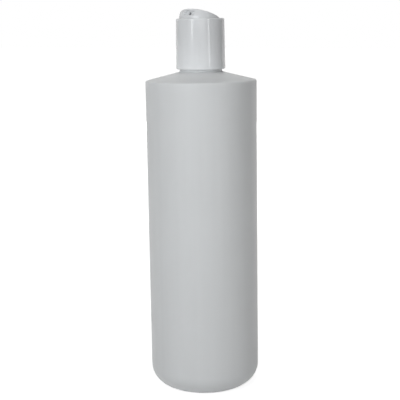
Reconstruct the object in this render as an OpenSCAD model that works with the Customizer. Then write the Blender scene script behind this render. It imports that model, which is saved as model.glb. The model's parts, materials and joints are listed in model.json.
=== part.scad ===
// Round squeeze bottle with a screw cap and a tilting pour disc.
// Millimetres, +Z up, origin at the centre of the base, spout towards -Y.

/* [Bottle] */
// Outside diameter of the body
body_d = 62; // [50:0.5:80]
// Height of the shoulder's corner above the base
body_h = 175.5; // [120:0.1:220]
// Slope of the shoulder above the horizontal, in degrees
shoulder_slope = 14; // [8:0.1:25]
// Rounding of the shoulder's corner
shoulder_r = 1.6; // [1.2:0.1:4]
// Rounding where the shoulder meets the neck
root_r = 1; // [0.4:0.1:1.2]
// Thickness of the blown wall
wall = 1; // [0.6:0.1:1.1]
// Thickness of the base
base_wall = 1.3; // [0.8:0.1:2]
// How far the heel curves in towards the base
heel_in = 12.4; // [6:0.1:16]
// How high the heel's curve reaches
heel_up = 11.8; // [6:0.1:18]
// Width of the flat ring that the bottle stands on
ring_w = 1.8; // [1:0.1:4]
// Rise of the base inside the standing ring
base_rise = 1.8; // [0.8:0.1:4]

/* [Neck] */
// Height of the neck above the shoulder
neck_h = 17; // [16:0.1:19]
// Outside diameter of the neck's wall
neck_d = 21.6; // [21:0.1:22]
// Diameter of the mouth and of the bore below it
mouth_d = 17.8; // [14:0.1:18.4]
// Gap between the bead at the foot of the neck and the inside of the cap
bead_gap = 0.45; // [0.2:0.05:0.8]
// Height of the bead above the shoulder
bead_h = 3; // [2:0.1:4]
// Bevel at the edges of the mouth
mouth_bevel = 0.4; // [0.2:0.1:0.6]

/* [Thread] */
// How far the neck's thread stands out of the neck
thread_h = 1.05; // [0.8:0.05:1.3]
// Rise of the thread in one turn
pitch = 3.175; // [2.8:0.005:3.4]
// Turns of thread
turns = 1.5; // [1:0.25:1.75]
// Distance from the mouth to the top of the thread
thread_top = 1.2; // [0.8:0.1:1.6]
// Width of the neck's thread at its root
thread_root = 1.6; // [1.2:0.1:1.8]
// Width of the neck's thread at its crest
thread_crest = 0.7; // [0.4:0.1:0.9]
// Width of the cap's thread at its root
cap_thread_root = 1.3; // [1:0.1:1.5]
// Width of the cap's thread at its crest
cap_thread_crest = 0.5; // [0.3:0.1:0.7]
// Gap between the neck's wall and the crest of the cap's thread
crest_gap = 0.4; // [0.3:0.05:0.6]
// Gap along the axis between the two threads when the cap is tight
flank_gap = 0.12; // [0.08:0.01:0.3]

/* [Cap] */
// Thickness of the cap's wall at its foot
cap_wall = 1.55; // [1.3:0.05:2.2]
// Thickness of the cap's rim round the disc's chamber
rim_wall = 1.25; // [1.1:0.05:1.9]
// Gap between the shoulder and the cap's foot
foot_gap = 1.4; // [0.8:0.1:2.4]
// Gap between the neck's thread and the inside of the cap
thread_gap = 0.35; // [0.3:0.05:0.5]
// Thickness of the deck between the neck and the disc's chamber
deck = 1.3; // [1:0.1:2]
// Depth of the disc's chamber
chamber_depth = 9.8; // [9.4:0.1:12]
// Rounding of the cap's top edge
cap_edge_r = 0.8; // [0.3:0.1:0.8]
// Rounding of the cap's foot
cap_foot_r = 0.35; // [0.2:0.05:0.5]
// Bevel round the inside of the cap's rim
rim_bevel = 0.2; // [0.1:0.05:0.3]
// Diameter of the pouring hole through the deck
hole_d = 2.2; // [1.2:0.1:2.4]
// How much wider than the disc's drum its saddle is, at each end
saddle_side = 0.5; // [0:0.1:1]
// Thickness of the saddle's top edge
saddle_rim = 0.6; // [0.4:0.1:1]

/* [Pour disc] */
// Diameter of the disc
disc_d = 23.6; // [23:0.1:23.8]
// Gap between the disc and the chamber all round
disc_gap = 0.3; // [0.25:0.05:0.4]
// Tilt of the disc when it is open, in degrees
open_tilt = 24; // [18:1:26]
// Distance of the pivot behind the cap's axis
pivot_back = 1.8; // [1.4:0.1:2.2]
// Distance of the pivot below the cap's rim
pivot_down = 1.7; // [1.5:0.1:2]
// How far the closed disc lies below the rim
flush = 0.1; // [0:0.05:0.3]
// Thickness of the disc's top plate
plate = 1.2; // [0.9:0.1:1.4]
// Rounding of the plate's edge
plate_edge_r = 0.5; // [0.2:0.1:0.8]
// Thickness of the disc's skirt and spout wall
skirt_wall = 1.2; // [0.8:0.1:1.6]
// Gap between the skirt and the deck when the disc is open
stop_gap = 0.1; // [0.05:0.05:0.5]
// Gap between the spout wall and the deck when the disc is closed
spout_gap = 1.1; // [0.3:0.1:2]
// Width of the spout wall
spout_w = 11.2; // [9:0.1:13]
// Width of the outlet in the spout wall
outlet_w = 6.2; // [4:0.1:7]
// Height of the outlet
outlet_h = 2.8; // [2.4:0.1:3]
// Depth of the outlet
outlet_depth = 1.4; // [1:0.1:3]
// Wall round the outlet and the channel behind it
rib = 1.1; // [0.8:0.1:1.3]
// Diameter of the channel from the outlet to the middle
channel_d = 1.6; // [1:0.1:2]
// Radius of the drum that shuts the pouring hole
drum_r = 5.6; // [5.2:0.1:5.9]
// Width of the drum
drum_w = 9; // [6:0.1:10]
// Diameter of the pivot pins
pin_d = 2; // [1.6:0.1:2.4]
// How far the pins stand out of the skirt
pin_out = 0.8; // [0.7:0.1:0.9]
// Running gap round the pins and under the drum
run_gap = 0.06; // [0.03:0.01:0.1]

/* [Sealing washer] */
// Thickness of the washer
washer_t = 1; // [0.6:0.1:1.6]
// Gap between the washer and the inside of the cap
washer_gap = 0.45; // [0.2:0.05:0.6]
// How far the washer's hole stands back from the mouth
washer_back = 0.2; // [0.1:0.1:0.6]

/* [Hidden] */
$fn = 96;

// Added to a cut so that it runs past the face it opens
over = 1;

body_r = body_d / 2;
neck_r = neck_d / 2;
mouth_r = mouth_d / 2;
thread_r = neck_r + thread_h;
cap_in_r = thread_r + thread_gap;
bead_r = cap_in_r - bead_gap;
ring_out = body_r - heel_in;
ring_in = ring_out - ring_w;
neck_foot = body_h + (body_r - bead_r) * tan(shoulder_slope);
land = neck_foot + neck_h;
bead_top = neck_foot + bead_h;
half_turn = (90 - shoulder_slope) / 2;
inner_corner = body_h + wall * (tan(shoulder_slope) - 1 / cos(shoulder_slope));
inner_foot = inner_corner + (body_r - wall - mouth_r) * tan(shoulder_slope);

cap_foot = neck_foot + foot_gap;
deck_under = land + washer_t;
deck_top = deck_under + deck;
cap_top = deck_top + chamber_depth;
disc_r = disc_d / 2;
chamber_r = disc_r + disc_gap;

// Heights from here on are above the disc's pivot
pivot_z = cap_top - pivot_down;
deck_z = deck_top - pivot_z;
plate_top = pivot_down - flush;
plate_under = plate_top - plate;
plate_mid = plate_top - plate / 2;
back_reach = disc_r - pivot_back;
front_reach = disc_r + pivot_back;
skirt_foot = (deck_z + stop_gap + back_reach * sin(open_tilt)) / cos(open_tilt);
spout_foot = deck_z + spout_gap;
sweep_r = chamber_r - disc_gap / 2;
channel_z = plate_under - outlet_h / 2;
channel_under = channel_z - channel_d / 2 - rib;
saddle_clear = 0.5;
saddle_z = channel_under - saddle_clear;
trough_r = drum_r + run_gap;
saddle_half = sqrt(pow(trough_r, 2) - pow(saddle_z, 2)) + saddle_rim;
pin_end = sqrt(pow(disc_r, 2) - pow(pivot_back, 2)) + pin_out;
pin_root = pin_end - pin_out - skirt_wall / 2;
socket_clear = 0.12;

// The cap's thread bears on the neck's thread from below
steps_a_turn = 36;
fade_steps = 4;
sink = 0.3;
cap_crest_r = neck_r + crest_gap;
meet_r = (cap_crest_r + thread_r) / 2;
neck_start = land - thread_top - thread_root / 2 - turns * pitch;
cap_start = neck_start - flank_gap
    - width_at(meet_r, neck_r, thread_r, thread_root, thread_crest) / 2
    - width_at(meet_r, cap_in_r, cap_crest_r, cap_thread_root, cap_thread_crest) / 2;

// Width of a thread at radius r, between its root and its crest
function width_at(r, root_at, crest_at, root_w, crest_w) =
    root_w + (crest_w - root_w) * (r - root_at) / (crest_at - root_at);

// Points on an arc, or on an ellipse where the two radii differ
function arc(r, z, across, up, from, to, steps) =
    [for (i = [0 : steps])
        let (a = from + (to - from) * i / steps)
        [r + across * cos(a), z + up * sin(a)]];

// Rounded corner from an upright wall on to the shoulder
function shoulder_arc(r, z, round_r) =
    arc(r - round_r, z - round_r * tan(half_turn), round_r, round_r, 0, 90 - shoulder_slope, 6);

// Rounded corner from the shoulder up an upright wall
function root_arc(r, z, round_r) =
    arc(r + round_r, z + round_r * tan(half_turn), round_r, round_r, 270 - shoulder_slope, 180, 4);

// Low dome over the middle of the base
function dome(z) =
    let (dome_r = (pow(ring_in, 2) + pow(base_rise, 2)) / (2 * base_rise))
    [for (i = [0 : 6])
        let (r = ring_in * i / 6)
        [r, z + base_rise - dome_r + sqrt(pow(dome_r, 2) - pow(r, 2))]];

function backwards(points) = [for (i = [len(points) - 1 : -1 : 0]) points[i]];

outside = concat(
    dome(0),
    arc(ring_out, heel_up, heel_in, heel_up, -90, 0, 14),
    shoulder_arc(body_r, body_h, shoulder_r),
    root_arc(bead_r, neck_foot, root_r),
    [[bead_r, bead_top - (bead_r - neck_r)],
     [neck_r, bead_top],
     [neck_r, land - mouth_bevel],
     [neck_r - mouth_bevel, land]]);

inside = concat(
    dome(base_wall),
    arc(ring_out, heel_up, heel_in - wall, heel_up - base_wall, -90, 0, 14),
    shoulder_arc(body_r - wall, inner_corner, shoulder_r - wall),
    root_arc(mouth_r, inner_foot, root_r),
    [[mouth_r, land - mouth_bevel],
     [mouth_r + mouth_bevel, land]]);

// Thread on a round wall, with both ends faded into the wall
module thread(wall_r, crest_r, root_w, crest_w, start) {
    way = sign(crest_r - wall_r);
    steps = round(turns * steps_a_turn);
    buried_r = wall_r - way * sink;
    faded_r = wall_r - way * sink / 2;
    function crest(i) =
        faded_r + (crest_r - faded_r) * min(1, i / fade_steps, (steps - i) / fade_steps);
    function section(i) =
        let (z = start + i * pitch / steps_a_turn)
        [[buried_r, z - way * root_w / 2],
         [crest(i), z - way * crest_w / 2],
         [crest(i), z + way * crest_w / 2],
         [buried_r, z + way * root_w / 2]];
    points = [for (i = [0 : steps]) for (p = section(i))
        let (a = i * 360 / steps_a_turn)
        [p[0] * cos(a), p[0] * sin(a), p[1]]];
    sides = [for (i = [0 : steps - 1]) for (k = [0 : 3])
        let (a = 4 * i + k, b = 4 * i + (k + 1) % 4)
        each [[a, b, a + 4], [b, b + 4, a + 4]]];
    last = 4 * steps;
    ends = [[0, 2, 1], [0, 3, 2], [last, last + 1, last + 2], [last, last + 2, last + 3]];
    polyhedron(points, concat(sides, ends));
}

// One blown piece, open at the mouth
module bottle() {
    color([0.93, 0.94, 0.94]) {
        rotate_extrude() polygon(concat(outside, backwards(inside)));
        thread(neck_r, thread_r, thread_root, thread_crest, neck_start);
    }
}

// Flat ring squeezed between the mouth and the cap
module sealing_washer() {
    color([0.86, 0.87, 0.87]) translate([0, 0, land])
        difference() {
            cylinder(h = washer_t, r = cap_in_r - washer_gap);
            translate([0, 0, -over])
                cylinder(h = washer_t + 2 * over, r = mouth_r + washer_back);
        }
}

// Turned shape of the cap, with the disc's chamber above the deck
module cap_shell() {
    foot_r = cap_in_r + cap_wall;
    top_r = chamber_r + rim_wall;
    rotate_extrude() polygon(concat(
        [[0, deck_under],
         [cap_in_r, deck_under],
         [cap_in_r, cap_foot + cap_foot_r],
         [cap_in_r + cap_foot_r, cap_foot]],
        arc(foot_r - cap_foot_r, cap_foot + cap_foot_r, cap_foot_r, cap_foot_r, -90, 0, 3),
        arc(top_r - cap_edge_r, cap_top - cap_edge_r, cap_edge_r, cap_edge_r, 0, 90, 5),
        [[chamber_r + rim_bevel, cap_top],
         [chamber_r, cap_top - rim_bevel],
         [chamber_r, deck_top],
         [0, deck_top]]));
}

// Block on the deck with a round trough that the disc's drum turns in
module saddle() {
    length = drum_w + 2 * saddle_side;
    difference() {
        translate([-length / 2, -saddle_half, deck_z - deck / 2])
            cube([length, 2 * saddle_half, saddle_z - deck_z + deck / 2]);
        rotate([0, 90, 0])
            cylinder(h = length + 2 * over, r = trough_r, center = true);
    }
}

// One moulded piece: skirt, thread, deck, saddle and the sockets for the pins
module cap() {
    color([0.96, 0.965, 0.97])
        difference() {
            union() {
                cap_shell();
                thread(cap_in_r, cap_crest_r, cap_thread_root, cap_thread_crest, cap_start);
                translate([0, pivot_back, pivot_z]) saddle();
            }
            translate([0, pivot_back, pivot_z]) rotate([0, 90, 0])
                cylinder(h = 2 * (pin_end + socket_clear), d = pin_d + 2 * run_gap, center = true);
            translate([0, pivot_back, deck_under - over])
                cylinder(h = cap_top - deck_under, d = hole_d);
        }
}

// All that stays inside the chamber while it turns about the pins
module swept(inset) {
    reach = sweep_r - inset;
    rotate([0, 90, 0]) rotate_extrude() polygon(concat(
        [[0, -reach]],
        arc(pivot_back, 0, reach, reach, -90, 90, 18),
        [[0, reach]]));
}

// Block as wide as w, from front to back and from low to high, inside the disc's outline
module in_disc(w, front, back, low, high) {
    intersection() {
        translate([-w / 2, front, low]) cube([w, back - front, high - low]);
        translate([0, -pivot_back, low - over]) cylinder(h = high - low + 2 * over, r = disc_r);
        swept(0);
    }
}

// Plate and skirt, turned about the disc's own axis
module disc_shell() {
    intersection() {
        translate([0, -pivot_back, 0]) rotate_extrude() polygon(concat(
            [[disc_r - skirt_wall, skirt_foot], [disc_r, skirt_foot]],
            arc(disc_r - plate_edge_r, plate_top - plate_edge_r, plate_edge_r, plate_edge_r, 0, 90, 5),
            [[0, plate_top], [0, plate_under], [disc_r - skirt_wall, plate_under]]));
        swept(0);
    }
}

// The disc as it lies closed, with its pivot at the origin
module closed_disc() {
    outlet_back = outlet_depth - front_reach;
    difference() {
        union() {
            disc_shell();
            difference() {
                in_disc(spout_w, -front_reach - over, -front_reach / 2, spout_foot, plate_mid);
                swept(skirt_wall);
            }
            in_disc(outlet_w + 2 * rib, -front_reach - over, outlet_back + rib,
                    plate_under - outlet_h - rib, plate_mid);
            in_disc(channel_d + 2 * rib, outlet_back, 0, channel_under, plate_mid);
            intersection() {
                rotate([0, 90, 0]) cylinder(h = drum_w, r = drum_r, center = true);
                translate([-drum_w / 2, -drum_r, -drum_r])
                    cube([drum_w, 2 * drum_r, drum_r + plate_mid]);
            }
            for (side = [-1, 1])
                rotate([0, 90 * side, 0])
                    translate([0, 0, pin_root]) cylinder(h = pin_end - pin_root, d = pin_d);
        }
        translate([-outlet_w / 2, -front_reach - over, plate_under - outlet_h])
            cube([outlet_w, outlet_depth + over, outlet_h]);
        translate([0, outlet_back - over, channel_z]) rotate([-90, 0, 0])
            cylinder(h = over - outlet_back, d = channel_d);
        rotate([open_tilt, 0, 0]) translate([0, 0, -drum_r - over])
            cylinder(h = drum_r + over, d = channel_d);
    }
}

// One moulded piece, tilted open on its pins
module pour_disc() {
    color([0.97, 0.975, 0.98])
        translate([0, pivot_back, pivot_z]) rotate([-open_tilt, 0, 0]) closed_disc();
}

bottle();
sealing_washer();
cap();
pour_disc();
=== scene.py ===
# Looks of a round sample bottle with a screw cap and a tilting pour disc.
import json
import math

import bmesh
import bpy
from mathutils import Matrix, Vector


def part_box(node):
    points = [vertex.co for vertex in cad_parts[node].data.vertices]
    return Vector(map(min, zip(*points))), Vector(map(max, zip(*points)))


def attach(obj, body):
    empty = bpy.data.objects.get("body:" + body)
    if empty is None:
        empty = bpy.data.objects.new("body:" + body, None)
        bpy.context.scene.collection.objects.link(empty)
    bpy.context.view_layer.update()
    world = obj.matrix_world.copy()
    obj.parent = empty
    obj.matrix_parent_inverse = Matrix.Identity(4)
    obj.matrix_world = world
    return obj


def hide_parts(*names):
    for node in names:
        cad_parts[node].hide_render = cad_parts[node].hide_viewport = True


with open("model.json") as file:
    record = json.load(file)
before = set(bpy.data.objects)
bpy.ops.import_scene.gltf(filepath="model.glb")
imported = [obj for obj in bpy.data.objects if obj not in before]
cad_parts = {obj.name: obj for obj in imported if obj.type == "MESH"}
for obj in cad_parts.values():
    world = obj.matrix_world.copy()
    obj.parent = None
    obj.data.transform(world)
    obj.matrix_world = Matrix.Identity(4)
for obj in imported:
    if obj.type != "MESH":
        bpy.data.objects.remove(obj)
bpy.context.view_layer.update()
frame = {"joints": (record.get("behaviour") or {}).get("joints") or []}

MM = 0.001

# Sizes read from the frame
BODY_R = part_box("bottle")[1].x
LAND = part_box("bottle")[1].z
CAP_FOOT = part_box("cap")[0].z
CAP_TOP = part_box("cap")[1].z
CAP_FOOT_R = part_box("cap")[1].x
WASHER_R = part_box("sealing_washer")[1].x
DECK_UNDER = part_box("sealing_washer")[1].z
JOINTS = {joint["name"]: joint for joint in frame["joints"]}
PIVOT = Vector(JOINTS["disc_tilt"]["pos_m"])
OPEN_TILT = math.radians(JOINTS["disc_tilt"]["range_deg"][1])
PIVOT_BACK = PIVOT.y
TURNS = JOINTS["cap_turn"]["range_deg"][1] / 360
PITCH = JOINTS["cap_lift"]["range_m"][1] / TURNS

# The blown bottle
SLOPE = math.radians(14)
SHOULDER_R = 1.15 * MM
ROOT_R = 1.0 * MM
WALL = 1.0 * MM
BASE_WALL = 1.3 * MM
HEEL_IN = 12.4 * MM
HEEL_UP = 11.8 * MM
RING_W = 1.8 * MM
BASE_RISE = 1.8 * MM
NECK_H = 17.0 * MM
NECK_R = 10.8 * MM
MOUTH_R = 8.9 * MM
BEAD_R = 11.75 * MM
BEAD_H = 3.0 * MM
MOUTH_BEVEL = 0.4 * MM
NECK_FOOT = LAND - NECK_H
BODY_H = NECK_FOOT - (BODY_R - BEAD_R) * math.tan(SLOPE)
RING_OUT = BODY_R - HEEL_IN
RING_IN = RING_OUT - RING_W

# Marks of the blowing mould
SEAM = math.radians(33.75)
SEAM_HALF = 0.22 * MM
SEAM_HEIGHT = 0.05 * MM
PINCH_REACH = 11.5 * MM
PINCH_HALF = 0.7 * MM
PINCH_HEIGHT = 0.4 * MM
PINCH_ROUND = 0.25 * MM
PINCH_STEPS = 3

# The washer
WASHER_HOLE_R = MOUTH_R + 0.2 * MM
WASHER_EDGE = 0.15 * MM
WASHER_STEPS = 3

# The threads
THREAD_R = 11.85 * MM
THREAD_TOP = 1.2 * MM
THREAD_ROOT = 1.6 * MM
THREAD_CREST = 0.7 * MM
CAP_THREAD_ROOT = 1.3 * MM
CAP_THREAD_CREST = 0.5 * MM
CAP_CREST_R = 11.2 * MM
CAP_IN_R = 12.2 * MM
FLANK_GAP = 0.12 * MM
SINK = 0.3 * MM
FADE_STEPS = 8
STEPS_A_TURN = 72

# The cap
DECK = 1.3 * MM
RIM_WALL = 1.25 * MM
CAP_EDGE_R = 0.8 * MM
CAP_FOOT_EDGE = 0.35 * MM
RIM_BEVEL = 0.2 * MM
HOLE_R = 1.1 * MM
DECK_TOP = DECK_UNDER + DECK

# The pour disc, with heights above its pivot
DISC_R = 11.8 * MM
CHAMBER_R = 12.1 * MM
SWEEP_R = 11.95 * MM
PLATE_TOP = 1.6 * MM
PLATE = 1.2 * MM
PLATE_EDGE = 0.5 * MM
SKIRT_WALL = 1.2 * MM
STOP_GAP = 0.1 * MM
SPOUT_GAP = 1.1 * MM
SPOUT_W = 11.2 * MM
OUTLET_W = 6.2 * MM
OUTLET_H = 2.8 * MM
OUTLET_DEPTH = 1.4 * MM
OUTLET_CORNER = 0.35 * MM
RIB = 1.1 * MM
CHANNEL_R = 0.8 * MM
DRUM_R = 5.6 * MM
DRUM_W = 9.0 * MM
PIN_R = 1.0 * MM
PIN_OUT = 0.8 * MM
RUN_GAP = 0.06 * MM
SADDLE_SIDE = 0.5 * MM
SADDLE_RIM = 0.6 * MM
SADDLE_CLEAR = 0.5 * MM
SOCKET_CLEAR = 0.12 * MM
PLATE_UNDER = PLATE_TOP - PLATE
PLATE_MID = PLATE_TOP - PLATE / 2
DECK_Z = DECK_TOP - PIVOT.z
SKIRT_RISE = (DISC_R - PIVOT_BACK) * math.sin(OPEN_TILT)
SKIRT_FOOT = (DECK_Z + STOP_GAP + SKIRT_RISE) / math.cos(OPEN_TILT)
SPOUT_FOOT = DECK_Z + SPOUT_GAP
FRONT_REACH = DISC_R + PIVOT_BACK
OUTLET_BACK = OUTLET_DEPTH - FRONT_REACH
CHANNEL_Z = PLATE_UNDER - OUTLET_H / 2
CHANNEL_UNDER = CHANNEL_Z - CHANNEL_R - RIB
PIN_END = math.sqrt(DISC_R ** 2 - PIVOT_BACK ** 2) + PIN_OUT
PIN_ROOT = PIN_END - PIN_OUT - SKIRT_WALL / 2

# Modelling
SIDES = 160
DISC_SIDES = 240
BAR_SIDES = 160
PIN_SIDES = 54
HOLE_SIDES = 48
RING_SIDES = 96
DOME_STEPS = 14
HEEL_STEPS = 28
HEEL_STEPS_IN = 20
WALL_ROWS = 30
CORNER_STEPS = 10
CORNER_STEPS_IN = 6
ROOT_STEPS = 8
EDGE_STEPS = 4
SWEEP_STEPS = 40
OVER = 1.0 * MM
MERGE = 0.001 * MM
POLE = 0.0001 * MM
SLIVER = 0.0005 * MM
SHARP = math.radians(28)
DIGITS = 6

# The photograph's view
CAMERA_AZIMUTH = math.radians(33)
CAMERA_DISTANCE = 552.6 * MM
CAMERA_HEIGHT = 207.5 * MM
CAMERA_PITCH = math.radians(10.251)
CAMERA_YAW = math.radians(-0.163)
CAMERA_ROLL = math.radians(-0.864)
SENSOR = 36.0
PIXELS = 400
FOCAL_PIXELS = 986.1
LENS = FOCAL_PIXELS / PIXELS * SENSOR
NEAR_CLIP = 10 * MM
FAR_CLIP = 20

# The room and its lamps
ROOM_LIGHT = 0.23
ROOM_COLOUR = (1.0, 0.99, 0.97, 1)
LAMP_AIM = 0.12
COOL = (0.97, 0.99, 1.0)
SKY = (0.925, 0.965, 1.0)
WARM = (1.0, 0.995, 0.98)
PLAIN = (1.0, 1.0, 1.0)
# Name, degrees right of the camera, distance, height, width and height of the lamp, glow, colour,
# height on the bottle's axis that it faces, and whether reflections show it
LAMPS = (
    ("key_lamp", -20, 1.5, 0.6, (0.7, 0.5), 5.56, SKY, LAMP_AIM, True),
    ("front_lamp", 8, 1.5, 0.5, (0.7, 0.5), 1.8, PLAIN, LAMP_AIM, True),
    ("top_lamp", 0, 0.4, 1.6, (0.6, 0.6), 3.0, PLAIN, 0.2, True),
    ("back_lamp", 170, 1.5, 0.3, (0.9, 0.5), 4.0, WARM, LAMP_AIM, False),
    ("window_strip", -39, 1.0, 0.438, (0.14, 0.5), 6.0, COOL, 0.4, True),
    ("edge_strip", 40.5, 1.0, 0.30, (0.035, 0.6), 11, PLAIN, 0.25, True),
)
CARD_TURN = 82
CARD_AWAY = 1.3
CARD_W = 2.2
CARD_H = 1.6
CARD_BLACK = (0.03, 0.03, 0.03, 1)
CARD_ROUGHNESS = 0.9

# The white table: its grey, darker near the foot as painted shade, and its lift towards plain white, near
# the foot and further off
FLOOR_SIZE = 12
FLOOR_DROP = 0.02 * MM
FOOT_SHADE_GREY = 0.66
FLOOR_WHITE = 0.82
FOOT_SHADE_IN = 0.03
FOOT_SHADE_OUT = 0.16
FLOOR_LIFT = 0.78
FAR_LIFT = 0.92
NEAR_FLOOR = 0.1
FAR_FLOOR = 0.7

# Materials
STREAK_DRAW = 0.03
SCUFF_DRAW = 0.12
SCUFF_TURN = (0, math.radians(35), math.radians(20))
SCUFF_FROM = 0.66
SCUFF_FULL = 0.74
BOTTLE_WHITE = (0.70, 0.71, 0.715)
CAP_WHITE = (0.72, 0.73, 0.74)
FOAM_WHITE = (0.66, 0.67, 0.67)
EVEN = {"Painted Light Low Height": 0, "Painted Light High Height": 1, "Painted Light Low Level": 1, "Painted Light High Level": 1}
# Painted light: the bottle's shoulder is painted lighter towards the neck.
NECK_PAINTED_LIGHT = {"Painted Light Low Height": BODY_H, "Painted Light High Height": NECK_FOOT, "Painted Light Low Level": 1.0, "Painted Light High Level": 1.1}
# Painted light and shade: the cap is painted lighter at its foot and a little darker towards its top.
CAP_FOOT_PAINTED_LIGHT = {"Painted Light Low Height": CAP_FOOT, "Painted Light High Height": DECK_TOP + 3 * MM,
                 "Painted Light Low Level": 1.12, "Painted Light High Level": 0.99}
MILKY = {"Subsurface Weight": 0.4, "Subsurface Scale": 2 * MM, "Subsurface Radius": (1, 1, 1)}


def deselect():
    """Leaves nothing selected, in object mode."""
    if bpy.context.mode != "OBJECT":
        bpy.ops.object.mode_set(mode="OBJECT")
    bpy.ops.object.select_all(action="DESELECT")


def take(piece):
    """Makes one piece the selected and active one."""
    deselect()
    piece.select_set(True)
    bpy.context.view_layer.objects.active = piece


def settle(piece):
    """Puts a piece's turn, size and place into its mesh."""
    take(piece)
    bpy.ops.object.transform_apply(location=True, rotation=True, scale=True)
    return piece


def arc(r, z, across, up, start, stop, steps):
    """Points on an arc, or on an ellipse where the two radii differ."""
    angles = [math.radians(start + (stop - start) * i / steps) for i in range(steps + 1)]
    return [(r + across * math.cos(a), z + up * math.sin(a)) for a in angles]


def shoulder_arc(r, z, round_r, steps):
    """Rounded corner from an upright wall on to the shoulder."""
    turn = math.tan((math.pi / 2 - SLOPE) / 2)
    return arc(r - round_r, z - round_r * turn, round_r, round_r, 0, 90 - math.degrees(SLOPE), steps)


def root_arc(r, z, round_r, steps):
    """Rounded corner from the shoulder up an upright wall."""
    turn = math.tan((math.pi / 2 - SLOPE) / 2)
    return arc(r + round_r, z + round_r * turn, round_r, round_r, 270 - math.degrees(SLOPE), 180, steps)


def dome(z, steps):
    """Low dome over the middle of the base, from the axis to the standing ring."""
    dome_r = (RING_IN ** 2 + BASE_RISE ** 2) / (2 * BASE_RISE)
    radii = [max(POLE, RING_IN * i / steps) for i in range(steps + 1)]
    return [(r, z + BASE_RISE - dome_r + math.sqrt(dome_r ** 2 - r ** 2)) for r in radii]


def turned(name, outline, sides=SIDES):
    """Solid of revolution: a ring that is extruded along a closed outline of radii and heights."""
    deselect()
    r, z = outline[0]
    bpy.ops.mesh.primitive_circle_add(vertices=sides, radius=r, location=(0, 0, 0))
    piece = bpy.context.object
    piece.name = name
    bpy.ops.object.mode_set(mode="EDIT")
    bpy.ops.mesh.select_mode(type="EDGE")
    bpy.ops.mesh.select_all(action="SELECT")
    bpy.ops.transform.translate(value=(0, 0, z))
    for next_r, next_z in outline[1:]:
        bpy.ops.mesh.extrude_region_move(TRANSFORM_OT_translate={"value": (0, 0, next_z - z)})
        bpy.ops.transform.resize(value=(next_r / r, next_r / r, 1), center_override=(0, 0, next_z))
        r, z = next_r, next_z
    bpy.ops.mesh.select_all(action="SELECT")
    bpy.ops.mesh.remove_doubles(threshold=MERGE)
    bpy.ops.mesh.normals_make_consistent(inside=False)
    bpy.ops.object.mode_set(mode="OBJECT")
    return piece


def rod(name, r, start, stop, sides):
    """Round bar from one point to another."""
    deselect()
    start, stop = Vector(start), Vector(stop)
    way = (stop - start).to_track_quat("Z", "Y").to_euler()
    bpy.ops.mesh.primitive_cylinder_add(
        vertices=sides, radius=r, depth=(stop - start).length,
        location=(start + stop) / 2, rotation=way)
    piece = bpy.context.object
    piece.name = name
    return settle(piece)


def block(name, low, high, corner=0.0):
    """Box between two corners, with its long edges rounded where a corner radius is given."""
    deselect()
    low, high = Vector(low), Vector(high)
    bpy.ops.mesh.primitive_cube_add(size=1, location=(low + high) / 2)
    piece = bpy.context.object
    piece.name = name
    piece.scale = high - low
    settle(piece)
    if corner:
        round_edges(piece, corner, EDGE_STEPS)
    return piece


def round_edges(piece, width, steps):
    """Rounds the sharp edges of a piece with a bevel."""
    bevel = piece.modifiers.new("rounding", "BEVEL")
    bevel.width = width
    bevel.segments = steps
    bevel.limit_method = "ANGLE"
    bevel.angle_limit = SHARP
    apply(piece, bevel)


def apply(piece, modifier):
    """Applies one modifier to its piece."""
    take(piece)
    bpy.ops.object.modifier_apply(modifier=modifier.name)


def combine(piece, other, how):
    """Joins, cuts or intersects a piece with another, which is used up."""
    tool = piece.modifiers.new("combine", "BOOLEAN")
    tool.operation = how
    tool.solver = "EXACT"
    tool.object = other
    apply(piece, tool)
    bpy.data.objects.remove(other)
    bpy.ops.object.mode_set(mode="EDIT")
    bpy.ops.mesh.select_all(action="SELECT")
    bpy.ops.mesh.remove_doubles(threshold=SLIVER)
    bpy.ops.object.mode_set(mode="OBJECT")
    return piece


def thread(name, wall_r, crest_r, root_w, crest_w, start):
    """Thread on a round wall: its section is extruded step by step up the helix, and its ends fade out."""
    way = 1 if crest_r > wall_r else -1
    buried_r = wall_r - way * SINK
    faded_r = wall_r - way * SINK / 2
    steps = round(TURNS * STEPS_A_TURN)
    angle = 2 * math.pi / STEPS_A_TURN
    deselect()
    bpy.ops.mesh.primitive_plane_add(size=1, location=((buried_r + crest_r) / 2, 0, start),
                                     rotation=(math.pi / 2, 0, 0))
    piece = bpy.context.object
    piece.name = name
    piece.scale = (abs(crest_r - buried_r), root_w, 1)
    settle(piece)
    bpy.ops.object.mode_set(mode="EDIT")
    bpy.ops.mesh.select_mode(type="VERT")
    pick(piece, lambda p: abs(p.x - crest_r) < MERGE)
    bpy.ops.transform.resize(value=(1, 1, crest_w / root_w), center_override=(crest_r, 0, start))
    bpy.ops.mesh.select_all(action="SELECT")
    for _ in range(steps):
        bpy.ops.mesh.extrude_region_move(TRANSFORM_OT_translate={"value": (0, 0, PITCH / STEPS_A_TURN)})
        bpy.ops.transform.rotate(value=-angle, orient_axis="Z", center_override=(0, 0, 0))
    for i in list(range(FADE_STEPS)) + list(range(steps - FADE_STEPS + 1, steps + 1)):
        share = min(i, steps - i) / FADE_STEPS
        place = Vector((math.cos(i * angle), math.sin(i * angle)))
        level = start + i * PITCH / STEPS_A_TURN
        near = lambda p: ((p.xy - place * crest_r).length < MERGE and abs(p.z - level) < crest_w)
        pick(piece, near)
        size = (faded_r + (crest_r - faded_r) * share) / crest_r
        bpy.ops.transform.resize(value=(size, size, 1), center_override=(0, 0, level))
    bpy.ops.mesh.select_all(action="SELECT")
    bpy.ops.mesh.normals_make_consistent(inside=False)
    bpy.ops.object.mode_set(mode="OBJECT")
    return piece


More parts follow.
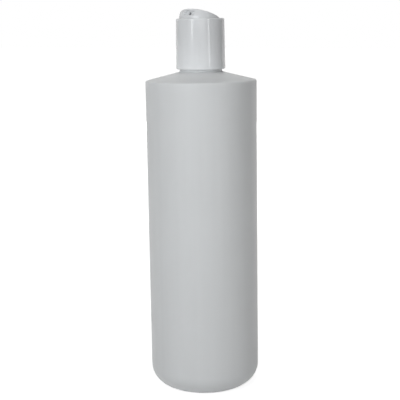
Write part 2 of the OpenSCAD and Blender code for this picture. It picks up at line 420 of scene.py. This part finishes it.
def pick(piece, wanted):
    """In edit mode, selects the points whose place is wanted, and the edges and faces between them."""
    mesh = bmesh.from_edit_mesh(piece.data)
    for face in mesh.faces:
        face.select_set(False)
    for edge in mesh.edges:
        edge.select_set(False)
    for point in mesh.verts:
        point.select_set(bool(wanted(point.co)))
    mesh.select_flush_mode()
    bmesh.update_edit_mesh(piece.data)


def smooth(piece):
    """Smooth faces that keep the moulded edges crisp."""
    take(piece)
    bpy.ops.object.shade_smooth_by_angle(angle=SHARP)
    return piece


def width_at(r, root_at, crest_at, root_w, crest_w):
    """Width of a thread at radius r, between its root and its crest."""
    return root_w + (crest_w - root_w) * (r - root_at) / (crest_at - root_at)


def raise_parting_line(piece, outside):
    """Fine upright line on two sides, where the halves of the blowing mould meet."""
    rings = {(round(r, DIGITS), round(z, DIGITS)) for r, z in outside if r > RING_OUT - MERGE}
    across = Vector((math.cos(SEAM), math.sin(SEAM), 0))

    def on_seam(p):
        beside = across.cross(p)
        return abs(beside.z) < MERGE and (round(p.xy.length, DIGITS), round(p.z, DIGITS)) in rings

    take(piece)
    bpy.ops.object.mode_set(mode="EDIT")
    bpy.ops.mesh.select_mode(type="VERT")
    pick(piece, on_seam)
    bpy.ops.mesh.bevel(offset=SEAM_HALF, segments=2, affect="EDGES")
    pick(piece, on_seam)
    grown = 1 + SEAM_HEIGHT / BODY_R
    bpy.ops.transform.resize(value=(grown, grown, 1), center_override=(0, 0, 0))
    bpy.ops.object.mode_set(mode="OBJECT")


def make_pinch_off():
    """Low weld ridge across the base, where the mould pinched the tube shut."""
    low = dome(-PINCH_HEIGHT, DOME_STEPS)
    high = dome(PINCH_HEIGHT, DOME_STEPS)
    ridge = turned("pinch_off", low + high[::-1])
    bar = block("pinch_bar", (-PINCH_REACH, -PINCH_HALF, -OVER),
                (PINCH_REACH, PINCH_HALF, BASE_RISE + OVER))
    bar.rotation_euler = (0, 0, SEAM)
    round_edges(combine(ridge, settle(bar), "INTERSECT"), PINCH_ROUND, PINCH_STEPS)
    return ridge


def make_bottle():
    """The blown bottle: body, heel, base, shoulder, neck and thread in one wall."""
    inner_corner = BODY_H + WALL * (math.tan(SLOPE) - 1 / math.cos(SLOPE))
    inner_foot = inner_corner + (BODY_R - WALL - MOUTH_R) * math.tan(SLOPE)
    outside = dome(0, DOME_STEPS)
    outside += arc(RING_OUT, HEEL_UP, HEEL_IN, HEEL_UP, -90, 0, HEEL_STEPS)
    top = BODY_H - SHOULDER_R
    outside += [(BODY_R, HEEL_UP + (top - HEEL_UP) * i / WALL_ROWS) for i in range(1, WALL_ROWS)]
    outside += shoulder_arc(BODY_R, BODY_H, SHOULDER_R, CORNER_STEPS)
    outside += root_arc(BEAD_R, NECK_FOOT, ROOT_R, ROOT_STEPS)
    outside += [(BEAD_R, NECK_FOOT + BEAD_H - (BEAD_R - NECK_R)), (NECK_R, NECK_FOOT + BEAD_H)]
    outside += [(NECK_R, LAND - MOUTH_BEVEL), (NECK_R - MOUTH_BEVEL, LAND)]
    inside = dome(BASE_WALL, DOME_STEPS)
    inside += arc(RING_OUT, HEEL_UP, HEEL_IN - WALL, HEEL_UP - BASE_WALL, -90, 0, HEEL_STEPS_IN)
    inside += shoulder_arc(BODY_R - WALL, inner_corner, SHOULDER_R - WALL, CORNER_STEPS_IN)
    inside += root_arc(MOUTH_R, inner_foot, ROOT_R, CORNER_STEPS_IN)
    inside += [(MOUTH_R, LAND - MOUTH_BEVEL), (MOUTH_R + MOUTH_BEVEL, LAND)]
    piece = turned("bottle_shell", outside + inside[::-1])
    raise_parting_line(piece, outside)
    combine(piece, make_pinch_off(), "UNION")
    start = LAND - THREAD_TOP - THREAD_ROOT / 2 - TURNS * PITCH
    helix = thread("neck_thread", NECK_R, THREAD_R, THREAD_ROOT, THREAD_CREST, start)
    combine(piece, helix, "UNION")
    return smooth(piece)


def make_washer():
    """The foam ring between the mouth and the cap."""
    edge = WASHER_EDGE
    near, far = WASHER_HOLE_R + edge, WASHER_R - edge
    low, high = LAND + edge, DECK_UNDER - edge
    outline = [(WASHER_HOLE_R, low)]
    for r, z, turn in ((near, low, 180), (far, low, -90), (far, high, 0), (near, high, 90)):
        outline += arc(r, z, edge, edge, turn, turn + 90, WASHER_STEPS)
    outline += [(WASHER_HOLE_R, low)]
    return smooth(turned("sealing_ring", outline, RING_SIDES))


def make_cap():
    """The moulded cap: skirt with its thread, deck, chamber, saddle, pouring hole and pin sockets."""
    rim_r = CHAMBER_R + RIM_WALL
    outline = [(POLE, DECK_UNDER), (CAP_IN_R, DECK_UNDER)]
    outline += [(CAP_IN_R, CAP_FOOT + CAP_FOOT_EDGE), (CAP_IN_R + CAP_FOOT_EDGE, CAP_FOOT)]
    outline += arc(CAP_FOOT_R - CAP_FOOT_EDGE, CAP_FOOT + CAP_FOOT_EDGE,
                   CAP_FOOT_EDGE, CAP_FOOT_EDGE, -90, 0, CORNER_STEPS_IN)
    outline += arc(rim_r - CAP_EDGE_R, CAP_TOP - CAP_EDGE_R, CAP_EDGE_R, CAP_EDGE_R, 0, 90, CORNER_STEPS)
    outline += arc(CHAMBER_R + RIM_BEVEL, CAP_TOP - RIM_BEVEL, RIM_BEVEL, RIM_BEVEL, 90, 180, EDGE_STEPS)
    outline += [(CHAMBER_R, DECK_TOP), (POLE, DECK_TOP)]
    piece = turned("cap_moulding", outline)
    meet_r = (CAP_CREST_R + THREAD_R) / 2
    start = LAND - THREAD_TOP - THREAD_ROOT / 2 - TURNS * PITCH - FLANK_GAP
    start -= width_at(meet_r, NECK_R, THREAD_R, THREAD_ROOT, THREAD_CREST) / 2
    start -= width_at(meet_r, CAP_IN_R, CAP_CREST_R, CAP_THREAD_ROOT, CAP_THREAD_CREST) / 2
    helix = thread("cap_thread", CAP_IN_R, CAP_CREST_R, CAP_THREAD_ROOT, CAP_THREAD_CREST, start)
    combine(piece, helix, "UNION")
    trough_r = DRUM_R + RUN_GAP
    saddle_z = CHANNEL_UNDER - SADDLE_CLEAR
    half_x = DRUM_W / 2 + SADDLE_SIDE
    half_y = math.sqrt(trough_r ** 2 - saddle_z ** 2) + SADDLE_RIM
    saddle = block("saddle", PIVOT + Vector((-half_x, -half_y, DECK_Z - DECK / 2)),
                   PIVOT + Vector((half_x, half_y, saddle_z)))
    reach = Vector((half_x + OVER, 0, 0))
    combine(saddle, rod("trough", trough_r, PIVOT - reach, PIVOT + reach, BAR_SIDES), "DIFFERENCE")
    combine(piece, saddle, "UNION")
    reach = Vector((PIN_END + SOCKET_CLEAR, 0, 0))
    combine(piece, rod("sockets", PIN_R + RUN_GAP, PIVOT - reach, PIVOT + reach, HOLE_SIDES), "DIFFERENCE")
    hole = rod("pouring_hole", HOLE_R, (0, PIVOT.y, DECK_UNDER - OVER), (0, PIVOT.y, PIVOT.z), HOLE_SIDES)
    combine(piece, hole, "DIFFERENCE")
    return smooth(piece)


def swept(name, inset):
    """All that stays inside the chamber while it turns about the pins, round the pivot at the origin."""
    reach = SWEEP_R - inset
    outline = [(POLE, -reach)] + arc(PIVOT_BACK, 0, reach, reach, -90, 90, SWEEP_STEPS) + [(POLE, reach)]
    piece = turned(name, outline, DISC_SIDES)
    piece.rotation_euler = (0, math.pi / 2, 0)
    return settle(piece)


def make_disc():
    """The moulded pour disc, made shut round its pivot and then tilted open on its pins."""
    low = SPOUT_FOOT - OVER
    deep = low - OVER
    skirt_in_r = DISC_R - SKIRT_WALL
    front = -FRONT_REACH - OVER
    outline = [(POLE, low), (DISC_R, low)]
    outline += arc(DISC_R - PLATE_EDGE, PLATE_TOP - PLATE_EDGE, PLATE_EDGE, PLATE_EDGE, 0, 90, ROOT_STEPS)
    outline += [(POLE, PLATE_TOP)]
    piece = turned("disc_moulding", outline, DISC_SIDES)
    room = turned("room", [(POLE, deep), (DISC_R + OVER, deep), (DISC_R + OVER, SKIRT_FOOT),
                           (skirt_in_r, SKIRT_FOOT), (skirt_in_r, PLATE_UNDER), (POLE, PLATE_UNDER)],
                  DISC_SIDES)
    for form in (piece, room):
        form.location = (0, -PIVOT_BACK, 0)
        settle(form)
    combine(piece, swept("sweep", 0), "INTERSECT")
    spout = block("spout_wall", (-SPOUT_W / 2, front, SPOUT_FOOT),
                  (SPOUT_W / 2, -FRONT_REACH / 2, PLATE_MID))
    combine(room, combine(spout, swept("hollow", SKIRT_WALL), "DIFFERENCE"), "DIFFERENCE")
    outlet_half = OUTLET_W / 2 + RIB
    combine(room, block("outlet_box", (-outlet_half, front, PLATE_UNDER - OUTLET_H - RIB),
                        (outlet_half, OUTLET_BACK + RIB, PLATE_MID)), "DIFFERENCE")
    channel_half = CHANNEL_R + RIB
    combine(room, block("channel_bar", (-channel_half, OUTLET_BACK, CHANNEL_UNDER),
                        (channel_half, 0, PLATE_MID)), "DIFFERENCE")
    half = Vector((DRUM_W / 2, 0, 0))
    combine(room, rod("drum", DRUM_R, -half, half, BAR_SIDES), "DIFFERENCE")
    combine(piece, room, "DIFFERENCE")
    for side in (-1, 1):
        pin = rod("pin", PIN_R, (side * PIN_ROOT, 0, 0), (side * PIN_END, 0, 0), PIN_SIDES)
        combine(piece, pin, "UNION")
    combine(piece, block("outlet", (-OUTLET_W / 2, front, PLATE_UNDER - OUTLET_H),
                         (OUTLET_W / 2, OUTLET_BACK, PLATE_UNDER), OUTLET_CORNER), "DIFFERENCE")
    channel = rod("channel", CHANNEL_R, (0, OUTLET_BACK - OVER, CHANNEL_Z), (0, 0, CHANNEL_Z), HOLE_SIDES)
    combine(piece, channel, "DIFFERENCE")
    down = Vector((0, math.sin(OPEN_TILT), -math.cos(OPEN_TILT)))
    combine(piece, rod("drop", CHANNEL_R, (0, 0, 0), down * (DRUM_R + OVER), HOLE_SIDES), "DIFFERENCE")
    piece.rotation_euler = (-OPEN_TILT, 0, 0)
    piece.location = PIVOT
    settle(piece)
    return smooth(piece)


def make_camera():
    """The photograph's camera."""
    data = bpy.data.cameras.new("camera")
    data.lens = LENS
    data.sensor_width = SENSOR
    data.clip_start = NEAR_CLIP
    data.clip_end = FAR_CLIP
    camera = bpy.data.objects.new("camera", data)
    bpy.context.scene.collection.objects.link(camera)
    turn = Matrix.Rotation(CAMERA_AZIMUTH, 4, "Z")
    place = turn @ Matrix.Translation((0, -CAMERA_DISTANCE, CAMERA_HEIGHT))
    look = Matrix.Rotation(-CAMERA_YAW, 4, "Z") @ Matrix.Rotation(math.pi / 2 - CAMERA_PITCH, 4, "X")
    camera.matrix_world = place @ look @ Matrix.Rotation(CAMERA_ROLL, 4, "Z")
    bpy.context.scene.camera = camera


def turned_from_camera(degrees):
    """Level direction from the bottle, so many degrees to the right of the camera."""
    angle = CAMERA_AZIMUTH + math.radians(degrees)
    return Vector((math.sin(angle), -math.cos(angle), 0))


def make_softbox(name, degrees, distance, height, size, glow, colour, aim, mirrored):
    """Soft lamp at a place round the bottle, which faces a point on its axis."""
    data = bpy.data.lights.new(name, "AREA")
    data.shape = "RECTANGLE"
    data.size, data.size_y = size
    data.energy = glow * math.pi * size[0] * size[1]
    data.color = colour
    lamp = bpy.data.objects.new(name, data)
    bpy.context.scene.collection.objects.link(lamp)
    lamp.visible_glossy = mirrored
    place = turned_from_camera(degrees) * distance + Vector((0, 0, height))
    lamp.location = place
    lamp.rotation_euler = (place - Vector((0, 0, aim))).to_track_quat("Z", "Y").to_euler()


def add_node(tree, kind, settings=None, **inputs):
    """New shader node with its settings and its inputs: a node or socket is linked, a value is set."""
    made = tree.nodes.new(kind)
    for setting, value in (settings or {}).items():
        setattr(made, setting, value)
    for key, value in inputs.items():
        socket = made.inputs[int(key[1:])] if key[1:].isdigit() else made.inputs[key.replace("_", " ")]
        if isinstance(value, bpy.types.NodeSocket):
            tree.links.new(value, socket)
        else:
            socket.default_value = value
    return made


def background_rays(tree):
    """One for rays that should see the plain white backdrop, nought for rays that carry light."""
    path = add_node(tree, "ShaderNodeLightPath")
    seen = add_node(tree, "ShaderNodeMath", {"operation": "MAXIMUM"},
                    _0=path.outputs["Is Camera Ray"], _1=path.outputs["Is Glossy Ray"])
    seen = add_node(tree, "ShaderNodeMath", {"operation": "MAXIMUM"},
                    _0=seen.outputs[0], _1=path.outputs["Is Transmission Ray"])
    return seen.outputs[0]


def make_world():
    """Even soft room light, which shows as a plain white backdrop."""
    world = bpy.data.worlds.new("studio")
    bpy.context.scene.world = world
    world.use_nodes = True
    tree = world.node_tree
    tree.nodes.clear()
    room = add_node(tree, "ShaderNodeBackground", Color=ROOM_COLOUR, Strength=ROOM_LIGHT)
    backdrop = add_node(tree, "ShaderNodeBackground", Color=(1, 1, 1, 1), Strength=1)
    mix = add_node(tree, "ShaderNodeMixShader", _0=background_rays(tree), _1=room.outputs[0],
                   _2=backdrop.outputs[0])
    add_node(tree, "ShaderNodeOutputWorld", Surface=mix.outputs[0])


def make_floor():
    """Plain white table top, which keeps the bottle's soft shadow, with painted shade in a darker grey
    round the foot.
    """
    deselect()
    bpy.ops.mesh.primitive_plane_add(size=FLOOR_SIZE, location=(0, 0, -FLOOR_DROP))
    floor = bpy.context.object
    floor.name = "floor"
    material = bpy.data.materials.new("white_table")
    material.use_nodes = True
    tree = material.node_tree
    tree.nodes.clear()
    spot = add_node(tree, "ShaderNodeTexCoord")
    far = add_node(tree, "ShaderNodeVectorMath", {"operation": "LENGTH"}, _0=spot.outputs["Object"])
    # Painted shade: the table's grey is darker round the bottle's foot.
    grey = add_node(tree, "ShaderNodeMapRange", {"interpolation_type": "SMOOTHSTEP"},
                    _0=far.outputs["Value"], _1=FOOT_SHADE_IN, _2=FOOT_SHADE_OUT,
                    _3=FOOT_SHADE_GREY, _4=FLOOR_WHITE)
    paper = add_node(tree, "ShaderNodeBsdfDiffuse", Color=grey.outputs[0])
    level = add_node(tree, "ShaderNodeMapRange", {"interpolation_type": "SMOOTHSTEP"},
                     _0=far.outputs["Value"], _1=NEAR_FLOOR, _2=FAR_FLOOR, _3=FLOOR_LIFT, _4=FAR_LIFT)
    lift = add_node(tree, "ShaderNodeMath", {"operation": "MULTIPLY"}, _0=background_rays(tree),
                    _1=level.outputs[0])
    glow = add_node(tree, "ShaderNodeEmission", Strength=lift.outputs[0])
    both = add_node(tree, "ShaderNodeAddShader", _0=paper.outputs[0], _1=glow.outputs[0])
    side = add_node(tree, "ShaderNodeNewGeometry")
    below = add_node(tree, "ShaderNodeMath", {"operation": "MULTIPLY"}, _0=side.outputs["Backfacing"],
                     _1=background_rays(tree))
    clear = add_node(tree, "ShaderNodeBsdfTransparent")
    table = add_node(tree, "ShaderNodeMixShader", _0=below.outputs[0], _1=both.outputs[0],
                     _2=clear.outputs[0])
    add_node(tree, "ShaderNodeOutputMaterial", Surface=table.outputs[0])
    floor.data.materials.append(material)


def make_dark_card():
    """Dark card to the right of the camera, which only reflections and soft light meet."""
    deselect()
    bpy.ops.mesh.primitive_plane_add(size=1)
    card = bpy.context.object
    card.name = "dark_card"
    card.scale = (CARD_W, CARD_H, 1)
    card.rotation_euler = (math.pi / 2, 0, CAMERA_AZIMUTH + math.radians(CARD_TURN))
    card.location = turned_from_camera(CARD_TURN) * CARD_AWAY + Vector((0, 0, CARD_H / 2))
    card.visible_camera = False
    card.visible_shadow = False
    material = bpy.data.materials.new("black_card")
    material.use_nodes = True
    shader = material.node_tree.nodes["Principled BSDF"]
    shader.inputs["Base Color"].default_value = CARD_BLACK
    shader.inputs["Roughness"].default_value = CARD_ROUGHNESS
    card.data.materials.append(material)


def new_group(name, inputs, outputs):
    """Empty shader node group with named inputs and outputs."""
    group = bpy.data.node_groups.new(name, "ShaderNodeTree")
    for key, kind in inputs.items():
        group.interface.new_socket(name=key, in_out="INPUT", socket_type="NodeSocket" + kind)
    for key, kind in outputs.items():
        group.interface.new_socket(name=key, in_out="OUTPUT", socket_type="NodeSocket" + kind)
    return group


def make_tone_and_light_group():
    """Slight drift of a moulding's colour, in soft patches and in faint upright streaks, scaled by painted
    light and shade that change with height.
    """
    values = ("Patches", "Streaks", "Drift", "Painted Light Low Height", "Painted Light High Height",
              "Painted Light Low Level", "Painted Light High Level")
    group = new_group("tone_and_painted_light", {"Colour": "Color", **dict.fromkeys(values, "Float")},
                      {"Colour": "Color"})
    inlet = add_node(group, "NodeGroupInput")
    spot = add_node(group, "ShaderNodeTexCoord")
    patches = add_node(group, "ShaderNodeTexNoise", Vector=spot.outputs["Object"],
                       Scale=inlet.outputs["Patches"], Detail=3.0)
    drawn = add_node(group, "ShaderNodeMapping", Vector=spot.outputs["Object"], Scale=(1, 1, STREAK_DRAW))
    streaks = add_node(group, "ShaderNodeTexNoise", Vector=drawn.outputs[0],
                       Scale=inlet.outputs["Streaks"], Detail=4.0)
    blend = add_node(group, "ShaderNodeMath", {"operation": "ADD"},
                     _0=patches.outputs[0], _1=streaks.outputs[0])
    centred = add_node(group, "ShaderNodeMath", {"operation": "SUBTRACT"}, _0=blend.outputs[0], _1=1.0)
    level = add_node(group, "ShaderNodeMath", {"operation": "MULTIPLY_ADD"}, _0=centred.outputs[0],
                     _1=inlet.outputs["Drift"], _2=1.0)
    height = add_node(group, "ShaderNodeSeparateXYZ", Vector=spot.outputs["Object"])
    # Painted light and shade: the colour is scaled from one level to another with height.
    painted_light = add_node(group, "ShaderNodeMapRange", {"interpolation_type": "SMOOTHSTEP"},
                       _0=height.outputs["Z"], _1=inlet.outputs["Painted Light Low Height"],
                       _2=inlet.outputs["Painted Light High Height"], _3=inlet.outputs["Painted Light Low Level"],
                       _4=inlet.outputs["Painted Light High Level"])
    both = add_node(group, "ShaderNodeMath", {"operation": "MULTIPLY"}, _0=level.outputs[0],
                    _1=painted_light.outputs[0])
    toned = add_node(group, "ShaderNodeVectorMath", {"operation": "SCALE"}, _0=inlet.outputs["Colour"],
                     Scale=both.outputs[0])
    add_node(group, "NodeGroupOutput", Colour=toned.outputs[0])
    return group


def make_skin_group():
    """Height of a moulded skin in millimetres: fine grain, upright draw lines and a slow swell."""
    group = new_group("moulded_skin", {"Grain": "Float", "Grain Depth": "Float", "Lines": "Float",
                                       "Line Depth": "Float", "Swell": "Float", "Swell Depth": "Float"},
                      {"Height": "Float"})
    inlet = add_node(group, "NodeGroupInput")
    spot = add_node(group, "ShaderNodeTexCoord")
    drawn = add_node(group, "ShaderNodeMapping", Vector=spot.outputs["Object"], Scale=(1, 1, STREAK_DRAW))
    height = None
    for part, depth, place, detail in (("Grain", "Grain Depth", spot.outputs["Object"], 3.0),
                                       ("Lines", "Line Depth", drawn.outputs[0], 2.0),
                                       ("Swell", "Swell Depth", spot.outputs["Object"], 1.0)):
        noise = add_node(group, "ShaderNodeTexNoise", Vector=place, Scale=inlet.outputs[part],
                         Detail=detail)
        scaled = add_node(group, "ShaderNodeMath", {"operation": "MULTIPLY"}, _0=noise.outputs[0],
                          _1=inlet.outputs[depth])
        if height is None:
            height = scaled
        else:
            height = add_node(group, "ShaderNodeMath", {"operation": "ADD"}, _0=height.outputs[0],
                              _1=scaled.outputs[0])
    add_node(group, "NodeGroupOutput", Height=height.outputs[0])
    return group


def make_handling_group():
    """Roughness of a handled surface: a base level, soft finger-worn patches and short fine scuffs."""
    group = new_group("handling", {"Roughness": "Float", "Patches": "Float", "Patch Spread": "Float",
                                   "Scuffs": "Float", "Scuff Spread": "Float"}, {"Roughness": "Float"})
    inlet = add_node(group, "NodeGroupInput")
    spot = add_node(group, "ShaderNodeTexCoord")
    patches = add_node(group, "ShaderNodeTexNoise", Vector=spot.outputs["Object"],
                       Scale=inlet.outputs["Patches"], Detail=4.0)
    centred = add_node(group, "ShaderNodeMath", {"operation": "SUBTRACT"}, _0=patches.outputs[0], _1=0.5)
    worn = add_node(group, "ShaderNodeMath", {"operation": "MULTIPLY_ADD"}, _0=centred.outputs[0],
                    _1=inlet.outputs["Patch Spread"], _2=inlet.outputs["Roughness"])
    laid = add_node(group, "ShaderNodeMapping", Vector=spot.outputs["Object"],
                    Rotation=SCUFF_TURN, Scale=(1, SCUFF_DRAW, 1))
    scuffs = add_node(group, "ShaderNodeTexNoise", Vector=laid.outputs[0], Scale=inlet.outputs["Scuffs"],
                      Detail=2.0)
    sparse = add_node(group, "ShaderNodeMapRange", {"clamp": True}, _0=scuffs.outputs[0],
                      _1=SCUFF_FROM, _2=SCUFF_FULL, _3=0.0, _4=1.0)
    scuffed = add_node(group, "ShaderNodeMath", {"operation": "MULTIPLY_ADD"}, _0=sparse.outputs[0],
                       _1=inlet.outputs["Scuff Spread"], _2=worn.outputs[0])
    add_node(group, "NodeGroupOutput", Roughness=scuffed.outputs[0])
    return group


def make_plastic(name, colour, tone_and_light, skin, handling, gloss):
    """Moulded plastic from the shared groups, each with this piece's own values."""
    material = bpy.data.materials.new(name)
    material.use_nodes = True
    tree = material.node_tree
    shader = tree.nodes["Principled BSDF"]
    for socket, value in gloss.items():
        shader.inputs[socket].default_value = value
    placed = {}
    for key, values in (("tone_and_painted_light", tone_and_light), ("moulded_skin", skin), ("handling", handling)):
        made = tree.nodes.new("ShaderNodeGroup")
        made.node_tree = bpy.data.node_groups[key]
        for socket, value in values.items():
            made.inputs[socket].default_value = value
        placed[key] = made
    placed["tone_and_painted_light"].inputs["Colour"].default_value = (*colour, 1)
    bump = add_node(tree, "ShaderNodeBump", Distance=MM, Height=placed["moulded_skin"].outputs["Height"])
    tree.links.new(placed["tone_and_painted_light"].outputs["Colour"], shader.inputs["Base Color"])
    tree.links.new(placed["handling"].outputs["Roughness"], shader.inputs["Roughness"])
    tree.links.new(bump.outputs["Normal"], shader.inputs["Normal"])
    return material


make_camera()
make_world()
make_floor()
make_dark_card()
for lamp_values in LAMPS:
    make_softbox(*lamp_values)
bpy.context.scene.view_settings.view_transform = "Standard"

make_tone_and_light_group()
make_skin_group()
make_handling_group()
bottle_plastic = make_plastic(
    "satin_blown_polyethylene", BOTTLE_WHITE,
    {"Patches": 22, "Streaks": 260, "Drift": 0.05, **NECK_PAINTED_LIGHT},
    {"Grain": 2600, "Grain Depth": 0.012, "Lines": 420, "Line Depth": 0.015,
     "Swell": 38, "Swell Depth": 0.35},
    {"Roughness": 0.42, "Patches": 60, "Patch Spread": 0.12, "Scuffs": 240, "Scuff Spread": 0.06},
    {"IOR": 1.5, **MILKY})
cap_plastic = make_plastic(
    "glossy_moulded_polypropylene", CAP_WHITE,
    {"Patches": 60, "Streaks": 500, "Drift": 0.03, **CAP_FOOT_PAINTED_LIGHT},
    {"Grain": 900, "Grain Depth": 0.004, "Lines": 700, "Line Depth": 0.002,
     "Swell": 120, "Swell Depth": 0.03},
    {"Roughness": 0.12, "Patches": 90, "Patch Spread": 0.06, "Scuffs": 500, "Scuff Spread": 0.08},
    {"IOR": 1.49, **MILKY})
disc_plastic = make_plastic(
    "glossy_disc_polypropylene", CAP_WHITE,
    {"Patches": 70, "Streaks": 500, "Drift": 0.03, **EVEN},
    {"Grain": 900, "Grain Depth": 0.004, "Lines": 700, "Line Depth": 0.002,
     "Swell": 140, "Swell Depth": 0.02},
    {"Roughness": 0.17, "Patches": 110, "Patch Spread": 0.1, "Scuffs": 500, "Scuff Spread": 0.1},
    {"IOR": 1.49, **MILKY})
washer_foam = make_plastic(
    "closed_cell_foam", FOAM_WHITE,
    {"Patches": 140, "Streaks": 900, "Drift": 0.08, **EVEN},
    {"Grain": 3200, "Grain Depth": 0.08, "Lines": 900, "Line Depth": 0.0,
     "Swell": 300, "Swell Depth": 0.05},
    {"Roughness": 0.75, "Patches": 200, "Patch Spread": 0.1, "Scuffs": 800, "Scuff Spread": 0.05},
    {"IOR": 1.45})

for make, body, node, slot, material in (
        (make_bottle, "bottle_body", "bottle", "bottle_plastic", bottle_plastic),
        (make_washer, "washer_body", "sealing_washer", "washer_foam", washer_foam),
        (make_cap, "cap_body", "cap", "cap_plastic", cap_plastic),
        (make_disc, "disc_body", "pour_disc", "disc_plastic", disc_plastic)):
    piece = make()
    piece.data.materials.clear()
    piece.data.materials.append(material)
    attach(piece, body)
    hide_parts(node)
